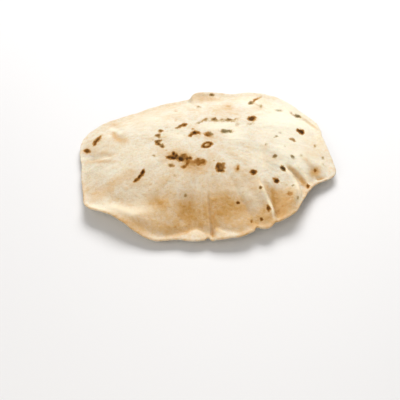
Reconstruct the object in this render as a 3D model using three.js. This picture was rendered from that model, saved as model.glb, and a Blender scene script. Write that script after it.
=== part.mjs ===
// A chapati: one round flatbread of wheat dough, puffed up over a flame and settled again.
// Millimetres, +Z up. The origin is on the table, under the middle of the bread.
//
// The bread is one solid. From the middle outwards its skin is a low dome with soft dents and
// folds, then a thin brim with a wavy, hand-rolled edge, then the under layer, which curves
// down from the brim to a flat patch that the bread rests on.

import * as THREE from 'three';

// Heights above the table
const CREST_HEIGHT = 30;
const BRIM_HEIGHT = 6.5;

// The dome, a pillow whose sides steepen towards its foot, in shares of the reach to the edge
const DOME_FOOT = 0.95;
const DOME_ROUNDNESS = 2.3;
const DOME_TAPER = 1.2;

// The brim and the under layer
const EDGE_WAVE_START = 0.82;
const BRIM_THICKNESS = 1.8;
const EDGE_ROUNDING = 0.8;
const RESTING_SHARE = 0.6;
const UNDER_CURVE = 1.5;

// The gutter just inside the front edge, which leaves the edge standing as a lip
const LIP = { bearing: 262, halfSpan: 34, share: 0.92, halfWidth: 0.035, depth: 1.3 };

// Where the foot of the dome lies nearer to the edge, or farther from it where the lip is broad
const FOOT_SHIFTS = [
  { bearing: 182, halfSpan: 40, shift: 0.045 },
  { bearing: 313, halfSpan: 18, shift: 0.04 },
  { bearing: 263, halfSpan: 5.5, shift: -0.055 },
  { bearing: 274.5, halfSpan: 4.5, shift: -0.05 },
];

// The mesh: how many rings of points the upper face has, how many points each ring has more
// than the ring inside it, and how many rings the coarser under face goes on at a time
const RING_COUNT = 35;
const POINTS_PER_STEP = 6;
const UNDER_RING_STEP = 2;

// The hand-rolled edge: bearing from +X in degrees, reach from the middle, height of its top
const EDGE = [
  [0, 91.5, 8], [12, 92.5, 7], [24, 96.8, 7], [34, 95.2, 8.3], [45, 97, 9.5],
  [57, 97.5, 9.3], [65, 95.5, 9], [73, 90.3, 8.5], [82, 87, 11], [89, 84.5, 13],
  [94, 83.6, 11.5], [97, 84.2, 7], [122, 85.3, 6.5], [134, 88.2, 7], [145, 94.8, 6.5],
  [157, 98.8, 6], [168, 94.8, 5.5], [177, 90.3, 5.5], [186, 89.6, 5.5], [199, 91, 6.5],
  [211, 95.5, 10], [221, 90.2, 11.8], [230, 89, 11], [246, 90.3, 6.7], [256, 86, 6.5],
  [262, 86.8, 6.8], [267, 86.3, 7], [273, 87.2, 8], [285, 89.4, 9.7], [300, 88.3, 10],
  [310, 89.9, 11.3], [320, 85.2, 10.5], [333, 84.5, 8.2], [344, 95.2, 7], [351, 93.8, 7],
];

// Nicks and lobes of the edge: how far it reaches in or out, over a few degrees
const NICKS = [
  { bearing: 95.2, halfSpan: 1.4, change: -1.4 },
  { bearing: 269.5, halfSpan: 1.4, change: -2 },
  { bearing: 291.3, halfSpan: 1.6, change: -3.4 },
  { bearing: 296, halfSpan: 2.2, change: 1.8 },
];

// Folds of the settled skin: ridges stand up and creases sink in, along paths in plan. Each
// has its own half width on its left and on its right, as seen along the path.
const FOLDS = [
  {
    name: 'front crease', path: [[1.7, -52], [2.5, -68], [2.1, -86]],
    height: -1.3, left: 3.5, right: 3.5,
  },
  { name: 'front swell', path: [[7, -56], [7, -80]], height: 0.7, left: 4.5, right: 3.5 },
  {
    name: 'near ridge', path: [[35.7, -44.6], [39.1, -58], [43.5, -75]],
    height: 2.6, left: 3.5, right: 8,
  },
  {
    name: 'near hollow', path: [[41, -45.8], [45.4, -57.5], [46, -75]],
    height: -2.1, left: 6, right: 3.5,
  },
  {
    name: 'shoulder', path: [[44.5, 8], [42.7, -23], [52.6, -27.7]],
    height: 0.9, left: 4, right: 4,
  },
  {
    name: 'right ridge', path: [[52.6, -27.7], [60.4, -36.6], [62.8, -48], [61.6, -61]],
    height: 3, left: 3.5, right: 8,
  },
  {
    name: 'right hollow', path: [[57, -27.5], [62.9, -31.5], [69, -40]],
    height: -2, left: 4, right: 3.5,
  },
  {
    name: 'right fold', path: [[61.4, -24], [69, -30.4], [71.4, -39]],
    height: 1.3, left: 5, right: 3.5,
  },
  { name: 'right tuck', path: [[77.3, -32.9], [88, -30.2]], height: -2, left: 3.5, right: 3.5 },
  {
    name: 'front shoulder', path: [[-70, -54.5], [-61, -61], [-52, -65.2], [-45, -66.5]],
    height: 2.9, left: 6, right: 7.5,
  },
  {
    name: 'behind shoulder', path: [[-72, -41], [-58, -49], [-46, -53], [-38, -54]],
    height: -0.8, left: 5, right: 5,
  },
  {
    name: 'left crease', path: [[-88.6, 9.9], [-74.6, 0.9], [-66.7, -2.3]],
    height: -1.2, left: 4, right: 3.5,
  },
  { name: 'left fold', path: [[-88, -12], [-66, -5]], height: 0.9, left: 4, right: 4.5 },
  { name: 'back crease', path: [[77, 45], [85, 35]], height: -0.9, left: 4, right: 4 },
];

// A fold grows over the first part of its path and grows faint at the edge of the bread
const FOLD_GROWTH = 0.4;
const EDGE_FADE = { share: 0.92, strength: 0.75 };

// Dents where the steam has gone and the skin has sunk
const DENTS = [
  { name: 'left upper', centre: [-67, 28], depth: 2, radius: 5.5 },
  { name: 'left lower', centre: [-61, 17], depth: 1.6, radius: 5.5 },
  { name: 'left front', centre: [-75, -34], depth: 1.6, radius: 9 },
  { name: 'front left', centre: [-34, -53], depth: 1.2, radius: 8 },
  { name: 'front middle', centre: [-13.5, -62], depth: 1.8, radius: 8 },
  { name: 'front foot', centre: [-14, -70], depth: 1.4, radius: 7 },
  { name: 'front right', centre: [14, -64], depth: 1.8, radius: 9 },
  { name: 'right', centre: [77.5, -23.5], depth: 1.3, radius: 5.5 },
];

// Slow waves of the skin, which die out over the brim
const SKIN_WAVES = [
  { height: 0.55, length: 118, bearing: 12, bend: 1.2 },
  { height: 0.45, length: 92, bearing: 97, bend: 0.9 },
  { height: 0.3, length: 61, bearing: 151, bend: 1.4 },
];
const WAVE_BEND_RATIO = 1.7;
const WAVE_FADE_START = 0.8;
const WAVE_FADE_END = 0.98;

const { clamp, degToRad, smoothstep } = THREE.MathUtils;

// The stations of the edge, which go on round from the last one to the first.
const stations = EDGE.map(([bearing, reach, height]) => ({ bearing, reach, height }));

function stationAt(index) {
  const turns = Math.floor(index / stations.length);
  const station = stations[index - turns * stations.length];
  return { ...station, bearing: station.bearing + 360 * turns };
}

// A smooth curve through the stations: reach or height of the edge at any bearing.
function throughStations(bearing, quantity) {
  let index = stations.findIndex((station) => station.bearing > bearing) - 1;
  if (index < -1) index = stations.length - 1;
  const [before, from, to, after] = [-1, 0, 1, 2].map((step) => stationAt(index + step));
  const span = to.bearing - from.bearing;
  const slopeFrom = (to[quantity] - before[quantity]) / (to.bearing - before.bearing);
  const slopeTo = (after[quantity] - from[quantity]) / (after.bearing - from.bearing);
  const t = (bearing - from.bearing) / span;
  return (2 * t ** 3 - 3 * t ** 2 + 1) * from[quantity]
    + (t ** 3 - 2 * t ** 2 + t) * span * slopeFrom
    + (3 * t ** 2 - 2 * t ** 3) * to[quantity]
    + (t ** 3 - t ** 2) * span * slopeTo;
}

// A soft bump that is 1 on its centre line and fades out past its half width.
function bump(distance, halfWidth) {
  return Math.exp(-((distance / halfWidth) ** 2));
}

// Reach of the edge, with its nicks and lobes.
function edgeReach(bearing) {
  return NICKS.reduce(
    (reach, nick) => reach + nick.change * bump(bearing - nick.bearing, nick.halfSpan),
    throughStations(bearing, 'reach'),
  );
}

// Signed distance from a path of straight legs, positive on its right, and how far along the
// path the nearest place on it lies.
function besidePath(x, y, path) {
  let nearest = { distance: Infinity, side: 0, along: 0 };
  for (let leg = 0; leg < path.length - 1; leg += 1) {
    const [startX, startY] = path[leg];
    const [legX, legY] = [path[leg + 1][0] - startX, path[leg + 1][1] - startY];
    const projected = ((x - startX) * legX + (y - startY) * legY) / (legX ** 2 + legY ** 2);
    const share = clamp(projected, 0, 1);
    const [offX, offY] = [x - startX - share * legX, y - startY - share * legY];
    const distance = Math.hypot(offX, offY);
    if (distance < nearest.distance) {
      const side = Math.sign(offX * legY - offY * legX);
      nearest = { distance, side, along: (leg + share) / (path.length - 1) };
    }
  }
  return { offset: nearest.distance * nearest.side, along: nearest.along };
}

// Height that the folds, dents and slow waves add to the skin at a place in plan.
function skinRelief(x, y, share) {
  let relief = 0;
  const fade = 1 - EDGE_FADE.strength * smoothstep(share, EDGE_FADE.share, 1);
  for (const fold of FOLDS) {
    const { offset, along } = besidePath(x, y, fold.path);
    const halfWidth = offset < 0 ? fold.left : fold.right;
    relief += fold.height * fade * smoothstep(along, 0, FOLD_GROWTH) * bump(offset, halfWidth);
  }
  for (const dent of DENTS) {
    const distance = Math.hypot(x - dent.centre[0], y - dent.centre[1]);
    relief -= dent.depth * bump(distance, dent.radius);
  }
  const waveStrength = 1 - smoothstep(share, WAVE_FADE_START, WAVE_FADE_END);
  for (const wave of SKIN_WAVES) {
    const heading = degToRad(wave.bearing);
    const forward = x * Math.cos(heading) + y * Math.sin(heading);
    const sideways = y * Math.cos(heading) - x * Math.sin(heading);
    const bend = wave.bend * Math.sin(2 * Math.PI * sideways / (WAVE_BEND_RATIO * wave.length));
    relief += waveStrength * wave.height * Math.sin(2 * Math.PI * forward / wave.length + bend);
  }
  return relief;
}

// Share of the reach at which the dome meets the brim.
function domeFoot(bearing) {
  return FOOT_SHIFTS.reduce(
    (foot, place) => foot + place.shift * bump(bearing - place.bearing, place.halfSpan),
    DOME_FOOT,
  );
}

// Height of the upper face, share being 0 in the middle of the bread and 1 at its edge.
function upperHeight(x, y, share, bearing) {
  const inside = Math.max(0, 1 - (share / domeFoot(bearing)) ** DOME_ROUNDNESS);
  const dome = inside ** DOME_TAPER;
  const wave = smoothstep(share, EDGE_WAVE_START, 1);
  const edgeHeight = throughStations(bearing, 'height');
  const gutter = LIP.depth * bump(bearing - LIP.bearing, LIP.halfSpan)
    * bump(share - LIP.share, LIP.halfWidth);
  return BRIM_HEIGHT + (CREST_HEIGHT - BRIM_HEIGHT) * dome
    + (edgeHeight - BRIM_HEIGHT) * wave + skinRelief(x, y, share) - gutter;
}

// Height of the lower face: flat where it rests, then curving up to the brim. The brim is a
// thin sheet, so nowhere is the lower face nearer to the upper one than its thickness.
function lowerHeight(x, y, share, bearing) {
  if (share <= RESTING_SHARE) return 0;
  const rise = ((share - RESTING_SHARE) / (1 - RESTING_SHARE)) ** UNDER_CURVE;
  const hung = (upperHeight(x, y, 1, bearing) - BRIM_THICKNESS) * rise;
  return Math.min(hung, upperHeight(x, y, share, bearing) - BRIM_THICKNESS);
}

// One ring of points at a share of the reach, on the face whose height is given.
function ring(count, share, heightAt) {
  return Array.from({ length: count }, (_, index) => {
    const bearing = (360 * index) / count;
    const angle = degToRad(bearing);
    const reach = share * (edgeReach(bearing) - EDGE_ROUNDING);
    const [x, y] = [reach * Math.cos(angle), reach * Math.sin(angle)];
    return new THREE.Vector3(x, y, heightAt(x, y, share, bearing));
  });
}

// The outermost ring, halfway down the thickness of the edge.
function edgeRing(count) {
  return Array.from({ length: count }, (_, index) => {
    const bearing = (360 * index) / count;
    const angle = degToRad(bearing);
    const reach = edgeReach(bearing);
    const [x, y] = [reach * Math.cos(angle), reach * Math.sin(angle)];
    return new THREE.Vector3(x, y, upperHeight(x, y, 1, bearing) - BRIM_THICKNESS / 2);
  });
}

// All rings in order, from the middle of the upper face round the edge to the middle below.
function breadRings() {
  const rings = [[new THREE.Vector3(0, 0, upperHeight(0, 0, 0, 0))]];
  for (let step = 1; step <= RING_COUNT; step += 1) {
    rings.push(ring(POINTS_PER_STEP * step, step / RING_COUNT, upperHeight));
  }
  rings.push(edgeRing(POINTS_PER_STEP * RING_COUNT));
  const restingStep = Math.round(RING_COUNT * RESTING_SHARE);
  for (let step = RING_COUNT; step > restingStep; step -= UNDER_RING_STEP) {
    rings.push(ring(POINTS_PER_STEP * step, step / RING_COUNT, lowerHeight));
  }
  rings.push(ring(POINTS_PER_STEP * restingStep, RESTING_SHARE, lowerHeight));
  rings.push([new THREE.Vector3(0, 0, 0)]);
  return rings;
}

// Triangles between two neighbouring rings, which may have different numbers of points.
function stitch(from, to, fromStart, toStart) {
  const faces = [];
  const fromSteps = from.length === 1 ? 0 : from.length;
  const toSteps = to.length === 1 ? 0 : to.length;
  let i = 0;
  let j = 0;
  while (i < fromSteps || j < toSteps) {
    const here = fromStart + (i % from.length);
    const across = toStart + (j % to.length);
    const toIsNext = (j + 1) / toSteps <= (i + 1) / fromSteps;
    if (i === fromSteps || (j < toSteps && toIsNext)) {
      j += 1;
      faces.push(here, across, toStart + (j % to.length));
    } else {
      i += 1;
      faces.push(here, across, fromStart + (i % from.length));
    }
  }
  return faces;
}

// The closed skin of the bread, standing with the middle of its box over the origin.
function breadGeometry() {
  const rings = breadRings();
  const faces = [];
  let start = 0;
  for (let index = 0; index < rings.length - 1; index += 1) {
    const next = start + rings[index].length;
    faces.push(...stitch(rings[index], rings[index + 1], start, next));
    start = next;
  }
  const geometry = new THREE.BufferGeometry().setFromPoints(rings.flat());
  geometry.setIndex(faces);
  geometry.computeBoundingBox();
  const middle = geometry.boundingBox.getCenter(new THREE.Vector3());
  geometry.translate(-middle.x, -middle.y, 0);
  geometry.computeVertexNormals();
  return geometry;
}

const bakedDough = new THREE.MeshStandardMaterial({ color: 0xe3c596, roughness: 0.85, metalness: 0 });

const chapati = new THREE.Mesh(breadGeometry(), bakedDough);
chapati.name = 'chapati';

const bread = new THREE.Group();
bread.add(chapati);

export default bread;
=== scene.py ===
import math
import random

import bpy
import numpy as np
from mathutils import Matrix, Vector, noise


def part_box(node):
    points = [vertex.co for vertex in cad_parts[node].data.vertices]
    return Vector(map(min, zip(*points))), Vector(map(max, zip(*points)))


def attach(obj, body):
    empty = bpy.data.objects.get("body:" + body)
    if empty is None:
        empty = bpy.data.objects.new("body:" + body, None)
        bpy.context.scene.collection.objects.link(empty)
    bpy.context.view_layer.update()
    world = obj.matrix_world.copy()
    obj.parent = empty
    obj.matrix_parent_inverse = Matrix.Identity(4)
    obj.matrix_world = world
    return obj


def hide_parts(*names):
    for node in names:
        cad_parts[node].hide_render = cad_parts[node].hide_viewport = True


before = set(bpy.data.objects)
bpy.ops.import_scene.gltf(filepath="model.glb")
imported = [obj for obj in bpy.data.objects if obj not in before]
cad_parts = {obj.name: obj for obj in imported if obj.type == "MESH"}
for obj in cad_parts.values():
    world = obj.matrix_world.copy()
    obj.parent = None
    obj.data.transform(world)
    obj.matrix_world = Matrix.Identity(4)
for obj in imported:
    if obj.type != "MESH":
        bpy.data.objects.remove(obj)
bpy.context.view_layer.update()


# ---------------------------------------------------------------------------------------
# The camera
# It stands first, because the marks on the skin are laid out in its frame. It looks down
# on the bread from the front through a long lens, turned a little about its own axis.
# ---------------------------------------------------------------------------------------

FRAME_PIXELS = 400
LENS_MM = 65.0
SENSOR_MM = 36.0
CAMERA_ELEVATION = math.radians(39.5)
CAMERA_ROLL = math.radians(3.3)
CAMERA_DISTANCE = 0.502
CAMERA_AIM = Vector((-0.0045, -0.0377, 0.0))

camera_back = Vector((0.0, -math.cos(CAMERA_ELEVATION), math.sin(CAMERA_ELEVATION)))
level_right = Vector((1.0, 0.0, 0.0))
level_up = camera_back.cross(level_right)
camera_right = level_right * math.cos(CAMERA_ROLL) - level_up * math.sin(CAMERA_ROLL)
camera_up = level_up * math.cos(CAMERA_ROLL) + level_right * math.sin(CAMERA_ROLL)
camera_place = CAMERA_AIM + camera_back * CAMERA_DISTANCE

camera_data = bpy.data.cameras.new("camera")
camera_data.lens = LENS_MM
camera_data.sensor_width = SENSOR_MM
camera = bpy.data.objects.new("camera", camera_data)
bpy.context.scene.collection.objects.link(camera)
camera.matrix_world = (
    Matrix.Translation(camera_place)
    @ Matrix((camera_right, camera_up, camera_back)).transposed().to_4x4()
)
bpy.context.scene.camera = camera


def places_in_frame(points):
    """Columns and rows of points, in metres, in the camera's square frame."""
    from_camera = points - np.array(camera_place)
    depth = -from_camera @ np.array(camera_back)
    scale = LENS_MM / SENSOR_MM * FRAME_PIXELS / depth
    columns = FRAME_PIXELS / 2 + scale * (from_camera @ np.array(camera_right))
    rows = FRAME_PIXELS / 2 - scale * (from_camera @ np.array(camera_up))
    return columns, rows


# ---------------------------------------------------------------------------------------
# The chapati
# One round of wheat dough, rolled by hand, baked dry on a griddle and puffed over a flame.
# The steam has gone, so its upper skin has settled into a low dome with folds and dents
# inside a thin, wavy brim. It is one piece, and lies loose on its under layer.
# ---------------------------------------------------------------------------------------

MM = 0.001

# The round. Lengths are in millimetres until the skin takes the box of its solid, and a share
# is of the way from the middle to the edge. More roundness makes the dome flatter on top, and
# more taper draws out its foot.
CREST_HEIGHT = 30.0
BRIM_HEIGHT = 6.5
DOME_FOOT = 0.95
DOME_ROUNDNESS = 2.3
DOME_TAPER = 1.2
EDGE_WAVE_START = 0.82
BRIM_THICKNESS = 1.3
EDGE_ROUNDING = 0.6
RESTING_SHARE = 0.6
UNDER_CURVE = 1.5

# The hand-rolled edge: bearing from +X in degrees, reach from the middle, height of its top
EDGE = [
    (0, 91.5, 8), (12, 92.5, 7), (24, 96.8, 7), (34, 95.2, 8.3), (45, 97, 9.5),
    (57, 97.5, 9.3), (65, 95.5, 9), (73, 90.3, 8.5), (82, 87, 11), (89, 84.5, 13),
    (94, 83.6, 11.5), (97, 84.2, 7), (122, 85.3, 6.5), (134, 88.2, 7), (145, 94.8, 6.5),
    (157, 98.8, 6), (168, 94.8, 5.5), (177, 90.3, 5.5), (186, 89.6, 5.5), (199, 91, 6.5),
    (211, 95.5, 10), (221, 90.2, 11.8), (230, 89, 11), (246, 90.3, 6.7), (256, 86, 6.5),
    (262, 86.8, 6.8), (267, 86.3, 7), (273, 87.2, 8), (285, 89.4, 9.7), (300, 88.3, 10),
    (310, 89.9, 11.3), (320, 85.2, 10.5), (333, 84.5, 8.2), (344, 95.2, 7), (351, 93.8, 7),
]
STATION_REACH = 1
STATION_HEIGHT = 2

# Its small unevenness all round, and its nicks and lobes: bearing, half span and how far it
# reaches out
EDGE_ROUGHNESS = 0.4
EDGE_TURN_LUMPS = 15.0
EDGE_SEED = 4.0
NICKS = [(95.2, 1.2, -1.4), (269.5, 1.0, -2.2), (288.6, 2.2, -0.9), (291.3, 1.4, -3.4),
         (296, 2.2, 1.8)]

# The gutter at the front foot of the dome, which leaves the edge standing as a lip
LIP_BEARING = 262.0
LIP_HALF_SPAN = 34.0
LIP_INSET = 0.02
LIP_HALF_WIDTH = 0.028
LIP_DEPTH = 1.0

# Where the foot of the dome lies nearer to the edge, or farther from it where the lip is
# broad: bearing, half span and share of the reach
FOOT_SHIFTS = [
    (182, 40, 0.045), (313, 18, 0.04), (250, 6, 0.02), (263, 4.5, -0.075), (270, 1.5, 0.04),
    (274, 3.5, -0.06), (286, 5, 0.02),
]

# Folds: path in plan, height, and half width on its left and on its right, as seen along it.
# A fold grows over the first share of its length, and fades towards the edge. Its path has its
# corners cut this often, by a share of its legs.
FOLD_GROWTH = 0.4
FOLD_FADE = 0.75
FOLD_FADE_START = 0.92
CORNER_CUTS = 3
CORNER_SHARE = 0.25
FOLDS = [
    ("front crease", [(1.7, -52), (1.6, -59), (2.3, -66), (2.6, -73), (2.4, -79), (2.1, -86)],
     -1.7, 1.2, 1.6),
    ("lip crease", [(2.6, -75), (2.6, -80), (2.4, -84), (2.3, -89)], -1.5, 0.8, 0.9),
    ("front swell", [(4.6, -56), (5.2, -66), (5.0, -80)], 0.8, 4.0, 1.2),
    ("near ridge", [(35.7, -44.6), (36.6, -49), (38.1, -54), (39.1, -58), (40.7, -61.5),
                    (41.9, -64.5), (42.8, -69), (43.5, -75)], 2.8, 1.4, 8.0),
    ("near crest", [(35.7, -45.6), (38.1, -54), (40.7, -61.5), (42.8, -69), (43.7, -76)],
     0.45, 0.7, 1.0),
    ("near hollow", [(41, -45.8), (42.7, -49.5), (44.2, -53), (45.4, -57.5), (45.9, -62),
                     (46, -68), (46, -75)], -2.1, 6.0, 2.0),
    ("shoulder", [(44.5, 8), (42.8, -12), (42.7, -23), (46.5, -26.5), (52.6, -27.7)],
     0.9, 3.0, 3.0),
    ("right ridge", [(52.7, -27.4), (56.1, -29.2), (59.5, -33.2), (61.8, -37.6), (62.8, -44),
                     (62.9, -50), (62.4, -56), (61.6, -61)], 3.0, 1.1, 8.0),
    ("right hollow", [(57, -27.5), (60.2, -29), (62.9, -31.5), (65.3, -34.2), (67.6, -37),
                      (69, -40)], -1.2, 2.0, 1.7),
    ("right fold", [(61.4, -24), (65.9, -26.6), (69, -30.4), (70.6, -34.3), (71.4, -39)],
     1.1, 5.0, 2.4),
    ("right pinch", [(73.1, -38), (72, -45)], 1.6, 2.5, 1.5),
    ("right tuck", [(77.3, -32.9), (81.3, -30.1), (88, -30.2)], -2.2, 2.0, 2.0),
    ("front shoulder", [(-70, -54.5), (-61, -61), (-52, -65.2), (-45, -66.5)],
     2.9, 6.0, 7.5),
    ("behind shoulder", [(-72, -41), (-58, -49), (-46, -53), (-38, -54)], -0.8, 5.0, 5.0),
    ("left crease", [(-88.6, 9.9), (-79.5, 3.1), (-74.6, 0.9), (-66.7, -2.3)], -1.3, 3.0, 1.8),
    ("left fold", [(-88, -12), (-77, -7), (-66, -5)], 1.0, 3.0, 4.0),
    ("back crease", [(77, 45), (85, 35)], -0.9, 3.0, 3.0),
    ("crest groove", [(12.4, -12.4), (16.3, -16.7), (19.3, -21.8), (21.3, -27.7), (22.2, -33.1)],
     -0.35, 1.6, 2.2),
    ("middle groove", [(25.7, -11.1), (28.8, -15.9), (30.6, -22.9), (31.2, -31.9)],
     -0.15, 2.0, 2.0),
    ("shoulder groove", [(36.5, -6.9), (39, -14.6), (39.6, -21.4), (40, -29)], -0.6, 2.2, 3.0),
]

# Dents where the steam has gone: place in plan, depth and radius
DENTS = [
    ("left upper", (-66.5, 28), 2.2, 4.6),
    ("left lower", (-60.5, 15.5), 1.7, 4.8),
    ("left front", (-75, -34), 1.6, 9.0),
    ("front left", (-34, -53), 1.2, 8.0),
    ("front middle", (-13.5, -62), 1.8, 8.0),
    ("front foot", (-14, -70), 1.4, 7.0),
    ("front right", (14, -64), 1.8, 9.0),
    ("right", (77.5, -23.5), 1.1, 4.6),
]

# Slow waves of the skin: height, length, bearing and bend; how much longer the bend is than
# the wave; and the shares between which they fade towards the edge
SKIN_WAVES = [(0.55, 118, 12, 1.2), (0.45, 92, 97, 0.9), (0.3, 61, 151, 1.4)]
BEND_LENGTH = 1.7
WAVE_FADE = (0.8, 0.98)

# Unevenness of the dough: size of the lumps and their height
LUMPS = [(24.0, 0.5), (9.0, 0.22), (3.4, 0.09)]
LUMP_SEED_STEP = 7.3

# Unevenness of the patch it rests on: height and size of the lumps
REST_ROUGHNESS = 0.12
REST_LUMPS = 6.0
REST_SEED = 31.0

# Wrinkles that run out from the crest, broad and fine: how many of them turn round it, their
# length and height; the distances from the crest over which they grow; and a least distance,
# as the crest itself has no bearing
WRINKLE_CREST = (0.0, -8.0)
WRINKLES = [(5.0, 30.0, 0.6), (19.0, 24.0, 0.17)]
WRINKLE_START = 6.0
WRINKLE_FULL = 32.0
LEAST_REACH = 0.001

# The mesh: rings of the upper skin, and how many points each has more than the one inside it;
# how many of those rings lie over one of the under layer, hanging and resting; the rings on the
# rounded edge, and how many of them still belong to the upper skin
RING_COUNT = 145
POINTS_PER_STEP = 6
UNDER_RING_STEP = 2
REST_RING_STEP = 6
EDGE_RINGS = 3
UPPER_EDGE_RINGS = 2


def smoothstep(values, start, end):
    """A smooth step from 0 at start to 1 at end."""
    share = np.clip((values - start) / (end - start), 0.0, 1.0)
    return share * share * (3 - 2 * share)


def through_stations(bearings, column):
    """Reach or height of the edge, on a smooth curve through its stations."""
    stations = np.array(EDGE, float)
    turn = np.array([360.0, 0.0, 0.0])
    wrapped = np.vstack([stations[-2:] - turn, stations, stations[:2] + turn])
    place, value = wrapped[:, 0], wrapped[:, column]
    slope = np.gradient(value, place)
    slope[1:-1] = (value[2:] - value[:-2]) / (place[2:] - place[:-2])
    index = np.searchsorted(place, bearings % 360.0, side="right") - 1
    span = place[index + 1] - place[index]
    t = (bearings % 360.0 - place[index]) / span
    return (
        (2 * t**3 - 3 * t**2 + 1) * value[index]
        + (t**3 - 2 * t**2 + t) * span * slope[index]
        + (3 * t**2 - 2 * t**3) * value[index + 1]
        + (t**3 - t**2) * span * slope[index + 1]
    )


def dough_noise(x, y, size, seed):
    """Smooth noise between about -1 and 1, with lumps of a size, over places in plan."""
    return np.array([
        noise.noise(Vector((across / size, back / size, seed))) for across, back in zip(x, y)
    ])


def edge_reach(bearings):
    """Reach of the edge, with its unevenness, its nicks and its lobes."""
    angles = np.radians(bearings)
    turn_x, turn_y = EDGE_TURN_LUMPS * np.cos(angles), EDGE_TURN_LUMPS * np.sin(angles)
    reach = through_stations(bearings, STATION_REACH)
    reach += EDGE_ROUGHNESS * dough_noise(turn_x, turn_y, 1.0, EDGE_SEED)
    for bearing, half_span, change in NICKS:
        reach += change * np.exp(-(((bearings - bearing) / half_span) ** 2))
    return reach


def rounded(path):
    """The path with its corners cut off again and again, so that a fold bends softly."""
    points = np.array(path, float)
    for _ in range(CORNER_CUTS):
        first = points[:-1] * (1 - CORNER_SHARE) + points[1:] * CORNER_SHARE
        second = points[:-1] * CORNER_SHARE + points[1:] * (1 - CORNER_SHARE)
        middle = np.stack([first, second], axis=1).reshape(-1, 2)
        points = np.vstack([points[:1], middle, points[-1:]])
    return points


def beside_path(x, y, path):
    """Signed distance from a path, positive on its right, and the share of it passed."""
    points = rounded(path)
    nearest = np.full(x.shape, np.inf)
    side = np.zeros(x.shape)
    along = np.zeros(x.shape)
    for leg in range(len(points) - 1):
        start_x, start_y = points[leg]
        leg_x, leg_y = points[leg + 1] - points[leg]
        share = ((x - start_x) * leg_x + (y - start_y) * leg_y) / (leg_x**2 + leg_y**2)
        share = np.clip(share, 0.0, 1.0)
        off_x = x - start_x - share * leg_x
        off_y = y - start_y - share * leg_y
        distance = np.hypot(off_x, off_y)
        closer = distance < nearest
        nearest = np.where(closer, distance, nearest)
        side = np.where(closer, np.sign(off_x * leg_y - off_y * leg_x), side)
        along = np.where(closer, (leg + share) / (len(points) - 1), along)
    return nearest * side, along


def wrinkles(x, y, turn_lumps, length):
    """Ridges and grooves that run out from the crest, between about -1 and 1."""
    out_x, out_y = x - WRINKLE_CREST[0], y - WRINKLE_CREST[1]
    reach = np.hypot(out_x, out_y) + LEAST_REACH
    ridges = np.array([
        noise.noise(Vector((
            turn_lumps * across / out, turn_lumps * back / out, out / length
        )))
        for across, back, out in zip(out_x, out_y, reach)
    ])
    return ridges * smoothstep(reach, WRINKLE_START, WRINKLE_FULL)


def skin_relief(x, y, share):
    """Height that folds, dents, waves and lumps add to the upper skin."""
    relief = np.zeros(x.shape)
    for _, path, height, left, right in FOLDS:
        offset, along = beside_path(x, y, path)
        half_width = np.where(offset < 0, left, right)
        fade = FOLD_FADE * smoothstep(share, FOLD_FADE_START, 1.0)
        strength = smoothstep(along, 0.0, FOLD_GROWTH) * (1 - fade)
        relief += height * strength * np.exp(-((offset / half_width) ** 2))
    for _, (dent_x, dent_y), depth, radius in DENTS:
        distance = np.hypot(x - dent_x, y - dent_y)
        relief -= depth * np.exp(-((distance / radius) ** 2))
    wave_strength = 1 - smoothstep(share, *WAVE_FADE)
    for height, length, bearing, bend in SKIN_WAVES:
        heading = math.radians(bearing)
        forward = x * math.cos(heading) + y * math.sin(heading)
        sideways = y * math.cos(heading) - x * math.sin(heading)
        bent = bend * np.sin(2 * math.pi * sideways / (BEND_LENGTH * length))
        relief += wave_strength * height * np.sin(2 * math.pi * forward / length + bent)
    for seed, (size, height) in enumerate(LUMPS):
        relief += height * dough_noise(x, y, size, seed * LUMP_SEED_STEP)
    for turn_lumps, length, height in WRINKLES:
        relief += height * wrinkles(x, y, turn_lumps, length)
    return relief


def dome_foot(bearings):
    """Share of the reach at which the dome meets the brim."""
    foot = np.full(bearings.shape, DOME_FOOT)
    for bearing, half_span, shift in FOOT_SHIFTS:
        foot += shift * np.exp(-(((bearings - bearing) / half_span) ** 2))
    return foot


def upper_height(x, y, share, bearings):
    """Height of the upper skin; share is 0 in the middle and 1 at the edge."""
    inside = np.clip(1 - (share / dome_foot(bearings)) ** DOME_ROUNDNESS, 0.0, None)
    dome = inside**DOME_TAPER
    wave = smoothstep(share, EDGE_WAVE_START, 1.0)
    gutter = LIP_DEPTH * np.exp(-(((bearings - LIP_BEARING) / LIP_HALF_SPAN) ** 2))
    gutter_share = dome_foot(bearings) - LIP_INSET
    gutter = gutter * np.exp(-(((share - gutter_share) / LIP_HALF_WIDTH) ** 2))
    return (
        BRIM_HEIGHT
        + (CREST_HEIGHT - BRIM_HEIGHT) * dome
        + (through_stations(bearings, STATION_HEIGHT) - BRIM_HEIGHT) * wave
        + skin_relief(x, y, share)
        - gutter
    )


def ring(count, share, height_at):
    """One ring of points round the middle, at a share of the reach of the edge."""
    bearings = np.arange(count) * 360.0 / count
    angles = np.radians(bearings)
    reach = share * (edge_reach(bearings) - EDGE_ROUNDING)
    x, y = reach * np.cos(angles), reach * np.sin(angles)
    return np.stack([x, y, height_at(x, y, share, bearings)], axis=1)


def lower_height(x, y, share, bearings):
    """Height of the under layer: resting flat, then curving up into the thin brim."""
    rest = REST_ROUGHNESS * (1 + dough_noise(x, y, REST_LUMPS, REST_SEED))
    if share <= RESTING_SHARE:
        return rest
    rise = ((share - RESTING_SHARE) / (1 - RESTING_SHARE)) ** UNDER_CURVE
    angles = np.radians(bearings)
    reach = edge_reach(bearings) - EDGE_ROUNDING
    edge = upper_height(reach * np.cos(angles), reach * np.sin(angles), np.ones(len(x)), bearings)
    hung = rest * (1 - rise) + (edge - BRIM_THICKNESS) * rise
    shares = np.full(len(x), share)
    return np.minimum(hung, upper_height(x, y, shares, bearings) - BRIM_THICKNESS)


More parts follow.
